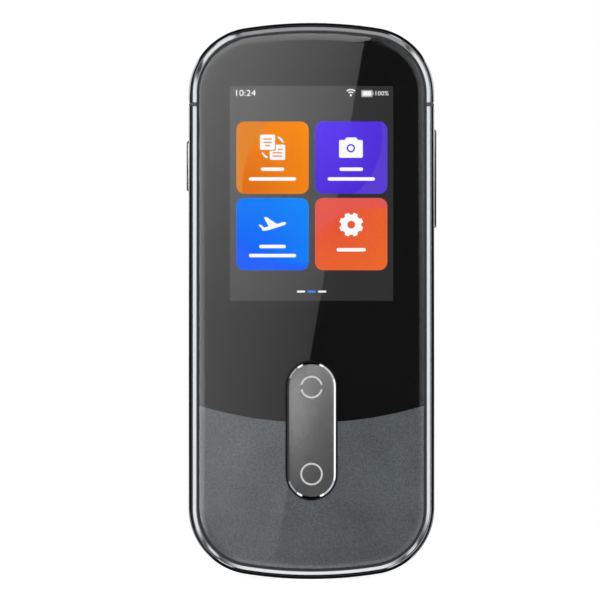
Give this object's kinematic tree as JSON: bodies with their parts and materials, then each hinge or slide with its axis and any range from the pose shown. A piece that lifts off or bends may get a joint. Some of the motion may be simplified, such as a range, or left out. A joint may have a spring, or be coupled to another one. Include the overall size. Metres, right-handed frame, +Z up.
{
  "type": "handheld translator",
  "caption": "Slim handheld translator with a full glass front, a colour touch display, a long rocking talk key, side keys and a rear camera island.",
  "frame": {"origin": "bottom centre of the bounding box, with the unit upright", "axes": "+Z up along the length, the display faces -Y, +X to the right as seen from the front"},
  "size_m": [0.0564, 0.0126, 0.1256],
  "materials": {
    "back_casing": "metallic grey, fine grain",
    "battery_foil": "dark foil pouch",
    "black_print": "black print under glass",
    "board": "green solder mask",
    "camera_window": "glossy black",
    "chassis": "glass-filled, satin",
    "cover_glass": "polished, curved at its edge",
    "dark_metal": "dark anodised",
    "display_glass": "lit display",
    "display_tray": "white light guide",
    "flash_lamp": "yellow phosphor",
    "flash_lens": "milky lens",
    "gasket_rubber": "black adhesive foam",
    "grey_print": "grey print with a fine sparkle under glass",
    "inlay_plastic": "smooth",
    "inner_plastic": "moulded",
    "key_metal": "fine blasted, dark anodised",
    "lens_glass": "coated lens",
    "pad_rubber": "silicone",
    "polished_frame": "dark, polished",
    "ribbon": "amber polyimide",
    "side_key_metal": "polished, dark anodised",
    "steel": "satin",
    "tape": "white tape"
  },
  "bodies": {
    "body": {"back_cover": "back_casing", "battery": "battery_foil", "battery_lead": "inner_plastic", "battery_tape_left": "tape", "battery_tape_right": "tape", "board_screw_1": "steel", "board_screw_2": "steel", "board_screw_3": "steel", "camera_module": "inner_plastic", "camera_rim": "dark_metal", "camera_window": "camera_window", "cover_glass": "cover_glass", "display_flex": "ribbon", "display_lamp": "display_tray", "display_panel": "display_glass", "dome_lower": "steel", "dome_upper": "steel", "film_black": "black_print", "film_grey": "grey_print", "flash_board": "board", "flash_lamp": "flash_lamp", "flash_lens": "flash_lens", "frame_lower": "polished_frame", "frame_screw_1": "steel", "frame_screw_2": "steel", "frame_screw_3": "steel", "frame_screw_4": "steel", "frame_screw_5": "steel", "frame_screw_6": "steel", "frame_upper": "polished_frame", "glass_gasket": "gasket_rubber", "inlay_left": "inlay_plastic", "inlay_right": "inlay_plastic", "key_board": "board", "key_pivot": "inner_plastic", "lens_glass": "lens_glass", "lens_ring": "dark_metal", "lower_board": "board", "lower_screw_1": "steel", "lower_screw_2": "steel", "main_board": "board", "mic_lower": "steel", "mic_rear": "steel", "mid_chassis": "chassis", "shield_processor": "steel", "shield_radio": "steel", "side_board_left": "board", "side_board_right": "board", "speaker": "inner_plastic", "switch_power": "inner_plastic", "switch_volume_down": "inner_plastic", "switch_volume_up": "inner_plastic", "usb_port": "steel"},
    "talk_key_body": {"talk_key": "key_metal", "key_pad": "pad_rubber"},
    "volume_key_body": {"volume_key": "side_key_metal"},
    "power_key_body": {"power_key": "side_key_metal"}
  },
  "joints": [
    {"name": "talk_key_rock", "type": "hinge", "parent": "body", "child": "talk_key_body", "pos_m": [0, -0.0037, 0.0336], "axis": [1, 0, 0], "range_deg": [-1.6, 1.6], "stiffness_Nm_per_rad": 0.8},
    {"name": "volume_key_rock", "type": "hinge", "parent": "body", "child": "volume_key_body", "pos_m": [0.02515, -0.00143, 0.09045], "axis": [0, 1, 0], "range_deg": [-1.5, 1.5], "stiffness_Nm_per_rad": 0.5},
    {"name": "power_key_press", "type": "slide", "parent": "body", "child": "power_key_body", "axis": [1, 0, 0], "range_m": [0, 0.0002], "stiffness_N_per_m": 2500}
  ]
}
